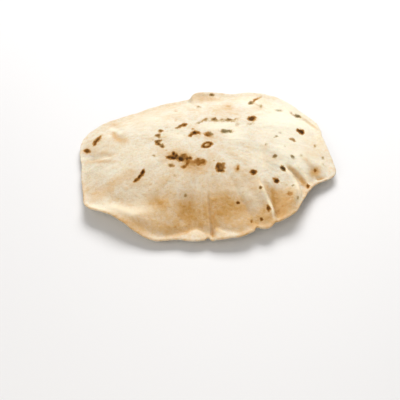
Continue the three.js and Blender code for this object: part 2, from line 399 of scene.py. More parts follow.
def rounded_edge(top_ring, turn):
    """A ring on the half round of the edge; turn goes from 0 above to 1 below."""
    outward = top_ring[:, :2] / np.linalg.norm(top_ring[:, :2], axis=1, keepdims=True)
    push = EDGE_ROUNDING * math.sin(math.pi * turn)
    drop = BRIM_THICKNESS / 2 * (1 - math.cos(math.pi * turn))
    return np.hstack([top_ring[:, :2] + outward * push, top_ring[:, 2:] - drop])


def stitched(rings):
    """Triangles between neighbouring rings, whose numbers of points may differ."""
    faces = []
    start = 0
    for near, far in zip(rings[:-1], rings[1:]):
        near_count, far_count = len(near), len(far)
        across_start = start + near_count
        near_steps = 0 if near_count == 1 else near_count
        far_steps = 0 if far_count == 1 else far_count
        i = j = 0
        while i < near_steps or j < far_steps:
            here, across = start + i % near_count, across_start + j % far_count
            far_is_next = (j + 1) * near_steps <= (i + 1) * far_steps
            if i == near_steps or (j < far_steps and far_is_next):
                j += 1
                faces.append((here, across, across_start + j % far_count))
            else:
                i += 1
                faces.append((here, across, start + i % near_count))
        start = across_start
    return faces


upper_rings = [ring(1, 0.0, upper_height)]
for step in range(1, RING_COUNT + 1):
    upper_rings.append(ring(POINTS_PER_STEP * step, step / RING_COUNT, upper_height))
edge_rings = [
    rounded_edge(upper_rings[-1], turn / (EDGE_RINGS + 1)) for turn in range(1, EDGE_RINGS + 1)
]
resting_step = round(RING_COUNT * RESTING_SHARE)
under_steps = list(range(RING_COUNT, resting_step, -UNDER_RING_STEP))
under_steps += list(range(resting_step, 0, -REST_RING_STEP))
under_rings = [
    ring(POINTS_PER_STEP * step, step / RING_COUNT, lower_height) for step in under_steps
]
under_rings.append(ring(1, 0.0, lower_height))

rings = upper_rings + edge_rings + under_rings
shaped = np.vstack(rings)
upper_count = sum(len(each) for each in upper_rings + edge_rings[:UPPER_EDGE_RINGS])
is_upper = np.arange(len(shaped)) < upper_count

# The skin takes the box of the solid that it replaces.
solid_low, solid_high = (np.array(corner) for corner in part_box("chapati"))
skin_low, skin_high = shaped.min(axis=0), shaped.max(axis=0)
points = solid_low + (shaped - skin_low) / (skin_high - skin_low) * (solid_high - solid_low)

bread_mesh = bpy.data.meshes.new("chapati_skin")
bread_mesh.from_pydata(points.tolist(), [], stitched(rings))
bread_mesh.polygons.foreach_set("use_smooth", [True] * len(bread_mesh.polygons))
bread_mesh.update()
bread = bpy.data.objects.new("chapati_skin", bread_mesh)
bpy.context.scene.collection.objects.link(bread)

# Scorch marks on the upper skin, where the flame touched its blisters: column and row of
# the middle in the camera's frame, length, breadth, tilt up to the right, and strength.
# Many of them stand in a wide ring round the crest.
SCORCH = [
    # the far edge and the far slope
    (212, 95, 4.5, 3, 0, 0.74), (198.6, 107, 5, 3, 0, 0.4), (175.6, 111, 4, 3, 0, 0.25),
    (175.6, 120, 4, 3, 0, 0.2), (250.7, 102.9, 4, 2.5, 20, 0.88),
    (255.3, 100.1, 5.6, 2.3, 34, 0.72), (259, 98, 5, 1.5, 24, 0.4), (257.4, 105, 9, 1.2, -24, 0.3),
    (261, 106.2, 3, 4.6, 0, 0.4), (237.4, 114, 4, 2, 0, 0.2), (278.5, 110.6, 5.6, 2, 0, 0.45),
    (291, 113, 3.4, 1.8, -35, 0.4), (296, 116, 4, 1.8, -20, 0.7), (298, 116.4, 4.4, 2.3, -12, 1.0),
    (298.9, 130.5, 5.4, 4.2, -30, 0.86), (301.8, 132.2, 5.6, 4.6, -30, 1.0),
    # the far arc of the ring
    (178.4, 127, 4.4, 1.8, 24, 0.9), (181.2, 125.7, 4, 2, 20, 0.95),
    (184.5, 124.8, 4.2, 2.8, 8, 0.95), (199, 122.8, 5.4, 1.9, 14, 0.5),
    (202.6, 120.8, 4, 1.5, 30, 0.5), (205.6, 119.6, 4.4, 2.2, 20, 0.6),
    (214.2, 119, 4.4, 2.8, 0, 0.9), (213.5, 120.9, 12, 1.1, 0, 0.4), (222, 119.6, 3.6, 2.2, 0, 0.5),
    (228.8, 119.7, 4.8, 2.2, -6, 0.9), (228, 121, 10, 1.1, 0, 0.4),
    (235.6, 119.6, 4.4, 1.6, 30, 0.45), (251.8, 118.4, 8, 4.6, 4, 0.9),
    (251.2, 118.6, 3.4, 3, 0, 0.92), (250.2, 124, 7.4, 2.4, 14, 0.32),
    # inside the ring
    (226.7, 131.2, 10.5, 3, -4, 0.6), (223.8, 131.6, 4, 2.8, 0, 0.7),
    (229.5, 131.2, 4, 2.4, 0, 0.65), (208.8, 134, 8.2, 4.6, 0, 0.58),
    (207.4, 134.8, 6.2, 3.1, 0, 0.9), (192.8, 128.8, 3.4, 2.6, 0, 0.4),
    (190.8, 135, 4.4, 3, 20, 0.8), (195, 132.8, 7, 3.8, 12, 1.0), (198.4, 132.8, 4, 2.6, -20, 0.75),
    (184.3, 135, 3, 2.4, 0, 0.2), (181, 131, 3, 2, 0, 0.15),
    # the left arc of the ring
    (166.4, 127.6, 3, 2, 0, 0.2), (160.6, 130.8, 4.8, 3.2, 0, 0.75),
    (158.4, 135.5, 5.2, 3.6, 0, 0.7), (159.3, 140.8, 5.4, 2.2, 16, 0.9),
    (156.3, 142.4, 3, 3.2, 0, 0.85), (158.6, 144.2, 3.8, 2.6, -30, 0.95),
    (162.4, 146.2, 4.4, 4, 0, 0.75), (152.6, 139.8, 2.6, 2.2, 0, 0.25),
    (157.3, 149.4, 2.8, 2.2, 0, 0.2), (166.3, 150, 2.8, 2.4, 0, 0.3),
    (153.8, 155.3, 3, 2.2, 0, 0.45),
    # the near arc of the ring, a close cluster
    (173.6, 153.4, 4.4, 4.4, 0, 0.9), (168.8, 157.2, 5.6, 4.2, 0, 0.84),
    (173.4, 158, 7.6, 3.8, 0, 1.0), (176.4, 155.8, 4, 3.6, 0, 0.92),
    (180.6, 158.6, 7.4, 5, -14, 0.96), (183.8, 155.4, 6.4, 5, 0, 0.68),
    (186.6, 158.8, 5, 4, 0, 0.84), (190.2, 158.1, 3.8, 3, 0, 0.95), (181.6, 160.6, 4, 2.4, 0, 0.95),
    (171, 165.6, 6.4, 4.4, 0, 0.55), (183.6, 167, 5, 3.4, 20, 0.76), (187, 163.4, 3.6, 6, -30, 0.7),
    (198.8, 160.6, 5.4, 4.4, 0, 0.62), (202.4, 162.2, 5, 4, 0, 0.66), (198, 164.4, 5, 4, 0, 0.56),
    (192.6, 162.4, 6, 4.6, 0, 0.46), (199, 162, 14, 6, 0, 0.58), (202.8, 161.6, 6, 5, 0, 0.7),
    (188.6, 161.6, 5, 4, 0, 0.6), (204.6, 149.4, 2, 1.6, 0, 0.2), (214.3, 160.4, 2, 2, 0, 0.45),
    (220.8, 167, 7.2, 8.4, 0, 0.68), (218.2, 166.4, 4, 7.6, 0, 0.89),
    (220.4, 170.2, 7.4, 3.4, 0, 0.95), (223, 165.6, 4, 5, 0, 0.58),
    (223.8, 163.8, 2.4, 2.4, 0, 0.55), (237.6, 168.4, 3.6, 5, 0, 0.72),
    (253, 171.6, 6.6, 4.4, -8, 0.86), (253.6, 172.8, 6, 3.4, 0, 0.94),
    # scattered over the right
    (291, 139, 4, 2.6, -10, 0.5), (293.4, 140.2, 4, 2.8, -30, 0.6), (276, 136.7, 3, 2.2, 0, 0.6),
    (280.2, 132.8, 3, 2, 0, 0.32), (285.3, 146, 2.4, 3.4, 0, 0.25), (315, 146, 2.6, 3.4, 0, 0.4),
    (265.8, 144.6, 3.4, 2.8, 0, 0.4), (274.8, 156.2, 4.8, 4, 20, 0.6),
    (292.7, 156.8, 4.8, 2.2, -35, 0.7), (301.3, 155.3, 3.6, 3, 0, 0.28),
    (323.2, 158, 2.6, 3.4, 0, 0.45), (323.8, 164.4, 2.6, 2.4, 0, 0.32),
    (298.7, 166.8, 2.4, 2.2, 0, 0.2), (282.3, 167.8, 4.4, 3.4, -35, 0.95),
    (283.8, 169.2, 4, 3.2, -35, 1.0), (315, 170.8, 3.6, 4.2, 0, 0.74),
    (276.7, 180.9, 5.4, 5.2, -20, 0.95), (273.8, 178.8, 3.4, 2.8, -20, 0.7),
    (287.6, 176.4, 2, 1.8, 0, 0.2), (292.6, 185.5, 2.4, 2.2, 0, 0.5),
    (286.4, 184.8, 2.4, 2, 0, 0.3), (297.8, 198, 2.6, 4.6, 10, 0.45),
    (307.9, 186.2, 4.2, 5, 0, 0.8), (290, 193.9, 4.4, 3.2, 0, 0.3),
    (282.5, 206.2, 2.2, 2.2, 0, 0.4),
    # scattered over the front
    (260.4, 187.9, 2.8, 2.6, 0, 0.92), (243, 192.7, 2.4, 2.2, 0, 0.35),
    (268.4, 208.4, 4.7, 6.7, 14, 0.78), (261.5, 219.5, 3.9, 4.5, 10, 0.76),
    (251.7, 221.3, 3.6, 4, 0, 0.62), (238.1, 202.8, 4, 3.8, 0, 0.9), (244.9, 199.2, 2, 2, 0, 0.15),
    (205, 205.3, 2.6, 2.2, 0, 0.35), (218, 208.4, 2.2, 1.8, 0, 0.2),
    (185.4, 195.8, 3.6, 3.4, 0, 0.52), (174.7, 175.7, 2.4, 2.2, 0, 0.3),
    (163, 176.2, 2.4, 1.8, 0, 0.2), (150.8, 184.3, 3.4, 1.4, 40, 0.35),
    (144.8, 187.4, 2.2, 2, 0, 0.2),
    # a long curved mark and the marks at the left edge
    (136, 180.2, 5.6, 3, 38, 0.92), (139.6, 177, 7, 3.2, 48, 1.0),
    (142.8, 172.4, 7.4, 3.8, 58, 1.0), (94.6, 143.5, 5, 3.2, 58, 0.8),
    (96.3, 141.6, 5, 2.7, 54, 0.88), (98.2, 139.4, 6.2, 2.9, 52, 0.88),
    (100.2, 137, 4, 2.2, 40, 0.66), (87.2, 151.2, 6.6, 4.2, 0, 0.86),
    (114.3, 124.7, 3, 2.4, 0, 0.25),
]

# A blister that burst and left only its rim brown
BURST_BLISTER = (207.1, 144.9, 7.9, 4.2, 18, 0.95)
BURST_RIM = 1.0

# Where the marks are greyed by soot, laid out in the same way. Softness is the share of its
# half breadth over which a patch fades on each side of its outline.
SOOT_SOFTNESS = 0.8
SOOT = [
    # the far edge and the flap
    (278.5, 110.6, 8, 5, 0, 1.0), (198.6, 107, 8, 6, 0, 0.7), (258, 106, 12, 6, 0, 0.8),
    (212, 95, 7, 5, 0, 0.6), (250.6, 103.2, 6, 5, 0, 0.8),
    # the middle
    (226.7, 131.2, 14, 7, 0, 1.0), (199, 122.6, 7, 4, 0, 0.8), (250, 124.4, 8, 4, 0, 0.8),
    (158, 136, 10, 14, 0, 0.4), (266, 144.6, 6, 6, 0, 0.8), (170.6, 166, 7, 6, 0, 0.4),
    (154, 155.3, 6, 5, 0, 0.6), (174, 176, 30, 6, 0, 0.5), (221, 120, 46, 7, 0, 0.6),
    (178, 127.4, 6, 5, 0, 0.5), (212, 133, 6, 5, 0, 0.7), (222.8, 168, 5, 9, 0, 0.25),
    (162, 146, 7, 7, 0, 0.5), (181, 157, 10, 8, 0, 0.2),
    # the right
    (297, 115.5, 12, 8, -20, 0.9), (280, 133, 8, 6, 0, 0.9), (276, 136, 12, 8, 0, 0.8),
    (292.5, 157, 8, 6, 0, 1.0), (275, 156.5, 8, 7, 0, 0.7), (315, 147, 8, 8, 0, 0.5),
    (323.5, 161, 8, 13, 0, 0.8), (283, 168.6, 7, 6, 0, 0.7), (285, 146, 6, 6, 0, 0.8),
    (293.2, 140, 5, 5, 0, 0.55), (292, 170.5, 14, 6, -45, 0.5), (301.3, 155.3, 6, 6, 0, 0.9),
    # the front
    (185.4, 196, 6, 6, 0, 0.5),
    # the near fold and the front right
    (260.6, 188, 5, 5, 0, 0.5), (290, 180, 14, 16, 0, 0.6), (292.6, 185.4, 12, 6, 0, 0.9),
    (298, 198, 6, 8, 0, 0.6),
]

# Golden toasted spots, and painted shade on the lip and the pouch, laid out in the same way
TOAST_AND_SHADE_SOFTNESS = 0.8
TOAST_AND_SHADE = [
    # the far edge and the flap
    (261, 106, 5, 2.5, 0, 0.3), (228.3, 106.2, 6, 3, 10, 0.3),
    # the left
    (130, 170.4, 9, 4, 0, 0.2), (97.5, 141, 12, 6, 48, 0.25), (87.2, 151.4, 9, 6, 0, 0.3),
    # the middle
    (222, 119.9, 6, 2, 0, 0.4), (237.4, 124.4, 4, 5, 0, 0.26), (211.5, 137.5, 6, 4, 0, 0.22),
    (207.3, 144.8, 7, 4, 17, 0.42), (237.2, 168.2, 6.4, 8, 0, 0.42), (200.4, 162.4, 11, 9, 0, 0.5),
    (193, 163.2, 12, 9, 0, 0.42), (187, 163.6, 7, 9, 20, 0.5), (197, 168, 11, 5, 0, 0.3),
    (184, 156.6, 19, 10, -4, 0.36), (174.6, 156, 9, 6.4, 0, 0.5),
    (184.4, 157.2, 11, 5.6, -12, 0.55), (172, 156, 14, 11, 0, 0.3), (191, 167, 14, 6, 0, 0.34),
    (253, 172.2, 9, 6.4, 0, 0.3), (251.5, 118.4, 11, 6, 0, 0.25), (195, 133.6, 12, 7, 8, 0.25),
    # the right
    (315.2, 171.4, 8, 7, 0, 0.45), (290.4, 169.6, 9, 4, -48, 0.2),
    # the front, with painted shade at the foot of the crease on the lip
    (238.1, 202.8, 6.2, 6, 0, 0.3), (185.4, 195.8, 5.6, 5.4, 0, 0.3),
    (251.7, 221.2, 5.4, 5.4, 0, 0.24), (212.8, 235, 2.2, 9, 0, 0.34), (215.4, 236.4, 5, 5, 0, 0.3),
    (200, 236, 16, 4, 0, 0.12),
    # the near fold and the front right, with painted shade over the pouch
    (289.8, 193.6, 6.8, 4.8, 0, 0.6), (282.5, 206.2, 3.2, 3.2, 0, 0.5),
    (261.5, 219.6, 6, 6.4, 0, 0.24), (305, 184, 5.6, 4.6, -50, 0.3),
    (296, 176.4, 12, 5.4, -52, 0.26), (278, 212, 7, 11, -20, 0.46), (276, 180.4, 8, 7, 0, 0.3),
    (289.5, 201, 20, 24, 0, 0.34),
]

# Parts of the skin that baked deeper, from cream to gold, and painted shade in the same gold
# where the skin turns away from the lamps: in dents, hollows and creases, on the upturned
# flap and over the front slope
GOLD_AND_SHADE_SOFTNESS = 0.9
GOLD_AND_SHADE_PATCHES = [
    # the far edge, and painted shade on the upturned flap
    (228, 107, 10, 6, 10, 0.42), (210.5, 98, 7, 7, 0, 0.3), (205, 98, 26, 8, 0, 0.32),
    (197, 97, 12, 8, 0, 0.3), (233, 112, 22, 9, 0, 0.24), (258, 107.5, 10, 5, 0, 0.28),
    # the left, with painted shade in the two dents and along the crease
    (114.4, 134.8, 6.6, 5.4, -40, 0.55), (119.6, 139.8, 11, 6.6, -12, 0.62),
    (117, 137.6, 8, 4, -42, 0.3), (126.5, 139.4, 7, 3, 14, 0.25), (114, 124.5, 12, 5, 0, 0.3),
    (100, 161.8, 26, 3, 2, 0.5), (103, 153.6, 14, 5, 0, 0.2), (112, 186, 30, 10, 30, 0.3),
    (104, 153.4, 18, 3, 0, 0.22), (98, 149, 26, 18, 0, 0.24), (122, 177, 30, 8, 35, 0.3),
    (133, 174, 14, 7, 30, 0.35), (90, 185, 14, 24, 0, 0.2), (139, 124, 14, 8, 20, 0.2),
    (137.6, 179.4, 20, 7, 50, 0.3),
    # the middle
    (211, 138, 10, 5, 0, 0.3), (265.5, 157, 5, 18, 5, 0.15), (196, 166, 26, 12, 0, 0.45),
    (176, 156, 28, 16, 0, 0.35), (247, 176, 16, 22, -15, 0.3), (222, 183, 40, 10, -4, 0.14),
    (195, 170.5, 24, 7, 0, 0.34), (172, 116.5, 18, 5, 0, 0.16), (211, 152, 12, 7, 0, 0.14),
    (264.5, 146, 8, 5, 0, 0.2),
    # the right, with painted shade in the hollow and the dent
    (290.4, 168.2, 8, 3.4, -42, 0.85), (295.8, 172.8, 11, 4.6, -50, 0.72),
    (315.4, 172, 11, 10, 0, 0.9), (308, 163, 14, 4, -45, 0.3), (309, 123, 22, 2.2, -37, 0.5),
    (275, 158, 12, 10, 0, 0.25), (318, 150, 24, 36, 0, 0.12), (293, 149, 12, 8, 0, 0.15),
    # the front left, partly painted shade on the slope below the shoulder
    (156.6, 202.6, 14, 11, 0, 0.68), (152, 199, 26, 14, 0, 0.2), (168, 202, 16, 16, 0, 0.35),
    (163, 209, 14, 10, 0, 0.26), (146, 221, 14, 9, -20, 0.25), (98, 194, 26, 12, 25, 0.4),
    (128, 226, 36, 14, -35, 0.54), (160, 215, 30, 18, 0, 0.25), (141, 226, 22, 12, -30, 0.35),
    # the front slope, partly painted shade where it faces away from the lamp
    (186, 207, 18, 16, 0, 0.52), (187, 216, 20, 24, 0, 0.8), (172, 229, 32, 12, -4, 0.7),
    (202, 219, 18, 28, 0, 0.66), (226.4, 208.6, 29, 27, 0, 0.92), (205, 205.6, 6, 7, 0, 0.75),
    (211.2, 207, 4, 9, 0, 0.6), (220, 196, 24, 14, 0, 0.28), (250, 223, 24, 14, 20, 0.5),
    (240, 207, 9, 14, 0, 0.4), (254, 187, 10, 14, 0, 0.25), (214, 189, 12, 9, 0, 0.16),
    (244, 207, 12, 12, 0, 0.45), (194, 200, 16, 8, 0, 0.3), (229, 226, 24, 11, 0, 0.24),
    (184, 203.5, 14, 8, 0, 0.22), (244, 233.5, 14, 8, -8, 0.6), (187, 232, 9, 5, 0, 0.4),
    (223, 231, 9, 4, 0, 0.3),
    # the near fold and the front right, partly painted shade in the fold and on the pouch
    (282, 204, 24, 26, 0, 0.75), (280, 211, 14, 12, -30, 0.7), (276, 198.4, 12, 10, 0, 0.4),
    (265.4, 182.6, 5, 7, 0, 0.5), (267.4, 187, 5, 4.4, 0, 0.3), (301.4, 179.6, 11, 5, -60, 0.75),
    (303.8, 182.8, 7, 4.6, -55, 0.8), (262, 220, 24, 16, 0, 0.66), (267, 220, 12, 14, 0, 0.6),
    (265, 208, 8, 10, 0, 0.45), (279, 207, 10, 14, 0, 0.5), (306, 189, 9, 8, 0, 0.45),
    (283, 212, 10, 8, 0, 0.3), (258, 206, 24, 20, -20, 0.2), (272, 211, 28, 14, -25, 0.22),
    # broad: the front slope and the far left edge, partly painted shade, and a faint painted warm
    # shade over the whole front half
    (190, 214, 130, 54, 0, 0.4), (150, 112, 96, 9, 18, 0.2), (185, 192, 190, 90, 0, 0.13),
]

# Parts of the skin that stayed pale and floury, and painted highlight where the skin faces
# the lamp: the shelf of the brim at the front left, the lit edges of creases, dents and folds,
# and the far right of the dome
FLOUR_AND_LIGHT_SOFTNESS = 0.7
FLOUR_AND_LIGHT_PATCHES = [
    # the far edge and the flap
    (193, 98, 10, 6, 0, 0.6), (250, 101, 24, 12, -10, 0.5),
    # the left, with painted highlight on the lit edges of the crease and the dents
    (108, 168, 44, 14, 0, 0.4), (96, 158.3, 32, 2.4, 1, 0.95), (115.5, 130.4, 14, 3.8, -18, 0.9),
    (130, 150, 40, 16, 0, 0.3), (91, 176, 12, 14, 0, 0.3), (102, 146, 20, 22, 0, 0.25),
    # the middle
    (222, 126, 40, 8, 0, 0.8), (235, 135, 20, 12, 0, 0.8), (150, 121, 56, 20, 16, 0.4),
    (262, 158, 30, 34, 0, 0.4), (152, 164, 26, 16, 0, 0.3), (262, 160, 16, 14, 0, 0.35),
    (178, 134, 20, 14, 0, 0.5),
    # the right, with painted highlight on the banks of the hollow
    (289, 156, 30, 24, 0, 0.85), (302, 168, 12, 20, 30, 0.9), (286.4, 167.2, 9, 2.2, -60, 0.9),
    (296.6, 167.4, 8, 3, -46, 0.85), (317, 161, 14, 10, 0, 0.7),
    # the front left: painted highlight on the shelf of the brim, which faces the lamp
    (95, 206.5, 24, 6, -12, 0.9), (114, 209.4, 34, 10, -8, 0.95), (133, 211.4, 22, 8, 0, 0.9),
    (141, 202, 16, 10, 25, 0.8), (149, 208.5, 20, 8, 0, 0.9), (129, 194, 16, 8, 0, 0.3),
    # the front
    (154, 188, 12, 16, -30, 0.3), (229, 189, 28, 4.6, 0, 0.55), (245, 193, 20, 5, -28, 0.6),
    (255, 201, 12, 5, -50, 0.35), (197, 232.5, 12, 6, 0, 0.45), (220, 231, 14, 4, 0, 0.4),
    (213.4, 199.5, 6, 9, 0, 0.42),
    # the near fold and the front right, with painted highlight beside the crests
    (297.5, 190, 7, 14, 0, 0.3), (290.4, 174.6, 8, 3, -50, 0.7), (294.6, 180.6, 9, 3.4, -62, 0.7),
    (268.4, 201.6, 4.4, 5, 0, 0.9),
    # broad: paler dough and painted highlight over the far right of the dome
    (290, 125, 64, 44, -25, 0.85),
]

# The pale lip at the front, paler dough with painted light where it turns up to the lamp:
# places along its upper border, in the same frame; columns between which it fades at its two
# ends; and how much of the gold and painted shade it loses
LIP_BORDER = [
    (156, 239.6), (165, 238.2), (180, 236.3), (186, 234.4), (190.5, 231.2), (196, 229),
    (201.5, 231.8), (206, 235.6), (210.5, 238), (213, 229.6), (217, 228.2), (226, 230.6),
    (233, 232.2), (241, 233), (248, 234.6),
]
LIP_LEFT_END = (154, 160)
LIP_RIGHT_END = (235, 245)
LIP_SOFTNESS = 1.2
LIP_PALENESS_AND_LIGHT = 0.65

# Folds whose bottom gets gold and painted shade, and folds whose crest gets a painted highlight:
# name, half width of the colour, its strength, and the share of the fold where it sets in. Both
# grow along the fold, and fade between two shares near the edge.
FOLD_COLOUR_GROWTH = 0.3
FOLD_COLOUR_FADE = (0.94, 0.99)
SHADED_GOLDEN_FOLDS = [
    ("near hollow", 4.2, 0.95, 0.05), ("front swell", 2.2, 0.55, 0.0),
    ("front crease", 0.8, 0.45, 0.0), ("right tuck", 1.6, 0.9, 0.0), ("left crease", 1.6, 0.2, 0.0),
]
# Fold crests that get a painted highlight
HIGHLIT_FOLDS = [
    ("near crest", 1.15, 0.95, 0.0), ("right ridge", 1.2, 0.95, -0.25),
    ("right fold", 1.3, 0.5, 0.0), ("right pinch", 1.3, 0.5, 0.0),
]

# The front of the rim is browner than the skin, partly baked and partly painted shade from
# under the lifted edge: strength, share of the reach where it starts, how far in front of the
# middle it sets in and is full, and its unevenness
RIM_GOLD_AND_SHADE = 0.45
RIM_START = 0.975
RIM_FRONT = (-10.0, 40.0)
RIM_LUMPS = 2.5
RIM_SEED = 41.0

# The outlines of the marks are ragged: size of the lumps and how far they push an outline; they
# push less up and down the frame, because the bread lies foreshortened in it
RAGGED_LUMPS = [(3.2, 1.0), (1.5, 0.6)]
RAGGED_UPRIGHT = 0.8
RAGGED_SEEDS = (3.0, 11.0)

# Over what width a burnt mark fades at its outline, and over what gap two marks melt together;
# the last two only keep the sums finite
HALO = 1.7
MELT = 0.6
NEARNESS_RANGE = (-9.0, 30.0)
NEXT_TO_NOTHING = 1e-12


def beside_mark(columns, rows, mark):
    """Distance from the outline of a mark, negative inside it."""
    column, row, length, breadth, tilt, _ = mark
    turn = math.radians(tilt)
    along = (columns - column) * math.cos(turn) - (rows - row) * math.sin(turn)
    across = (columns - column) * math.sin(turn) + (rows - row) * math.cos(turn)
    share = np.hypot(along / (length / 2), across / (breadth / 2))
    return (share - 1) * min(length, breadth) / 2


def soft_patch(columns, rows, mark, softness):
    """Strength of a soft patch: full in its middle, half on its outline, fading outside it."""
    _, _, length, breadth, _, strength = mark
    half = min(length, breadth) / 2 * softness
    return strength * (1 - smoothstep(beside_mark(columns, rows, mark), -half, half))


def burnt(marks, across, back):
    """How deep in the nearest mark each place lies, and how dark that mark is. Marks that
    touch melt into one."""
    near = np.zeros(across.shape)
    dark = np.zeros(across.shape)
    for mark in marks:
        gap = np.clip(beside_mark(across, back, mark), *NEARNESS_RANGE)
        nearness = np.exp(-gap / MELT)
        near += nearness
        dark += nearness * mark[-1]
    inside = 0.5 + MELT * np.log(near + NEXT_TO_NOTHING) / (2 * HALO)
    return np.clip(inside, 0.0, 1.0), dark / (near + NEXT_TO_NOTHING)


columns, rows = places_in_frame(points)
rough_columns, rough_rows = columns.copy(), rows.copy()
for size, push in RAGGED_LUMPS:
    rough_columns += push * dough_noise(columns, rows, size, RAGGED_SEEDS[0])
    rough_rows += RAGGED_UPRIGHT * push * dough_noise(columns, rows, size, RAGGED_SEEDS[1])

burn, burn_depth = burnt(SCORCH, rough_columns, rough_rows)
rim = np.abs(beside_mark(columns, rows, BURST_BLISTER)) - BURST_RIM
on_rim = np.clip(0.5 - rim / (2 * HALO), 0.0, 1.0)
burn_depth = np.where(on_rim > burn, BURST_BLISTER[-1], burn_depth)
burn = np.maximum(burn, on_rim)

toast_and_shade = np.zeros(len(points))
for mark in TOAST_AND_SHADE:
    toast_and_shade = np.maximum(toast_and_shade, soft_patch(rough_columns, rough_rows, mark, TOAST_AND_SHADE_SOFTNESS))
gold_and_shade = np.zeros(len(points))
for mark in GOLD_AND_SHADE_PATCHES:
    gold_and_shade = gold_and_shade + (1 - gold_and_shade) * soft_patch(columns, rows, mark, GOLD_AND_SHADE_SOFTNESS)
flour_and_light = np.zeros(len(points))
for mark in FLOUR_AND_LIGHT_PATCHES:
    flour_and_light = flour_and_light + (1 - flour_and_light) * soft_patch(columns, rows, mark, FLOUR_AND_LIGHT_SOFTNESS)
below_border = rows - np.interp(columns, *zip(*LIP_BORDER))
on_lip = smoothstep(below_border, -LIP_SOFTNESS, LIP_SOFTNESS)
on_lip *= smoothstep(columns, *LIP_LEFT_END)
on_lip *= 1 - smoothstep(columns, *LIP_RIGHT_END)
# The lip loses most of its gold and painted shade, which paints it lighter.
gold_and_shade = gold_and_shade * (1 - LIP_PALENESS_AND_LIGHT * on_lip)

plan_x, plan_y = shaped[:, 0], shaped[:, 1]
reach_share = np.hypot(plan_x, plan_y) / edge_reach(np.degrees(np.arctan2(plan_y, plan_x)) % 360)


def along_fold(name, half_width, strength, start):
    """Strength of a colour that follows a fold: it grows along the fold and fades beside it
    and towards the edge."""
    path = next(fold[1] for fold in FOLDS if fold[0] == name)
    offset, along = beside_path(plan_x, plan_y, path)
    strength = strength * smoothstep(along, start, start + FOLD_COLOUR_GROWTH)
    strength = strength * (1 - smoothstep(reach_share, *FOLD_COLOUR_FADE))
    return strength * np.exp(-((offset / half_width) ** 2))


# The bottoms of folds get gold and painted shade, and lose their flour and painted highlight.
for fold_colour in SHADED_GOLDEN_FOLDS:
    gilt_and_shade = along_fold(*fold_colour)
    gold_and_shade = gold_and_shade + (1 - gold_and_shade) * gilt_and_shade
    flour_and_light = flour_and_light * (1 - gilt_and_shade)
# The crests of folds get a painted highlight, and lose their gold and painted shade.
crest = np.zeros(len(points))
for fold_colour in HIGHLIT_FOLDS:
    highlight_share = along_fold(*fold_colour)
    crest = np.maximum(crest, highlight_share)
    gold_and_shade = gold_and_shade * (1 - highlight_share)
rim_gold_and_shade = RIM_GOLD_AND_SHADE * smoothstep(reach_share, RIM_START, 1.0) * smoothstep(-plan_y, *RIM_FRONT)
rim_unevenness = 1 + dough_noise(plan_x, plan_y, RIM_LUMPS, RIM_SEED)
gold_and_shade = gold_and_shade + (1 - gold_and_shade) * rim_gold_and_shade * rim_unevenness
soot = np.zeros(len(points))
for mark in SOOT:
    soot = np.maximum(soot, soft_patch(columns, rows, mark, SOOT_SOFTNESS))
for field in (toast_and_shade, gold_and_shade, flour_and_light, crest, soot):
    field[~is_upper] = 0.0

# Marks on the under layer, which lay on the griddle: how many spots, strewn at random within
# what reach of the middle, their lengths, their breadths as a share of that, their strengths,
# and how ragged they are
UNDER_SPOTS = 70
SPOT_DRAWS_SEED = 5
SPOT_REACH = 82
SPOT_LENGTHS = (2.5, 7.5)
SPOT_BREADTHS = (0.6, 1.0)
SPOT_STRENGTHS = (0.35, 1.0)
SPOT_RAGGEDNESS = 1.2
SPOT_LUMPS = 3.0
SPOT_SEEDS = (17.0, 23.0)

strewn = random.Random(SPOT_DRAWS_SEED)
under_x, under_y = points[:, 0] / MM, points[:, 1] / MM
rough_x = under_x + SPOT_RAGGEDNESS * dough_noise(under_x, under_y, SPOT_LUMPS, SPOT_SEEDS[0])
rough_y = under_y + SPOT_RAGGEDNESS * dough_noise(under_x, under_y, SPOT_LUMPS, SPOT_SEEDS[1])
under_spots = []
for _ in range(UNDER_SPOTS):
    reach = SPOT_REACH * math.sqrt(strewn.random())
    angle = strewn.uniform(0, 2 * math.pi)
    length = strewn.uniform(*SPOT_LENGTHS)
    under_spots.append((
        reach * math.cos(angle), reach * math.sin(angle),
        length, length * strewn.uniform(*SPOT_BREADTHS),
        strewn.uniform(0, 180), strewn.uniform(*SPOT_STRENGTHS),
    ))
under_burn, under_depth = burnt(under_spots, rough_x, rough_y)
burn = np.where(is_upper, burn, under_burn)
burn_depth = np.where(is_upper, burn_depth, under_depth)

# Paler and deeper streaks run out over the skin with the wrinkles: how many of them turn round
# the crest, their length and strength
STREAKS = [(5.0, 30.0, 0.45), (17.0, 22.0, 0.32), (30.0, 16.0, 0.16)]
streaks = np.zeros(len(points))
for turn_lumps, length, strength in STREAKS:
    streaks += strength * wrinkles(plan_x, plan_y, turn_lumps, length)

painted_fields = (
    ("streaks", streaks), ("burn", burn), ("burn_depth", burn_depth), ("toast_and_shade", toast_and_shade),
    ("gold_and_shade", gold_and_shade), ("flour_and_light", flour_and_light), ("crest", crest), ("soot", soot),
)
for name, values in painted_fields:
    attribute = bread_mesh.attributes.new(name, "FLOAT", "POINT")
    attribute.data.foreach_set("value", values.astype(np.float32))


def colour(red, green, blue):
    """A colour given as on a screen, from 0 to 255, as the linear one that nodes use."""
    linear = [
        value / 255 / 12.92 if value <= 10 else ((value / 255 + 0.055) / 1.055) ** 2.4
        for value in (red, green, blue)
    ]
    return (*linear, 1.0)


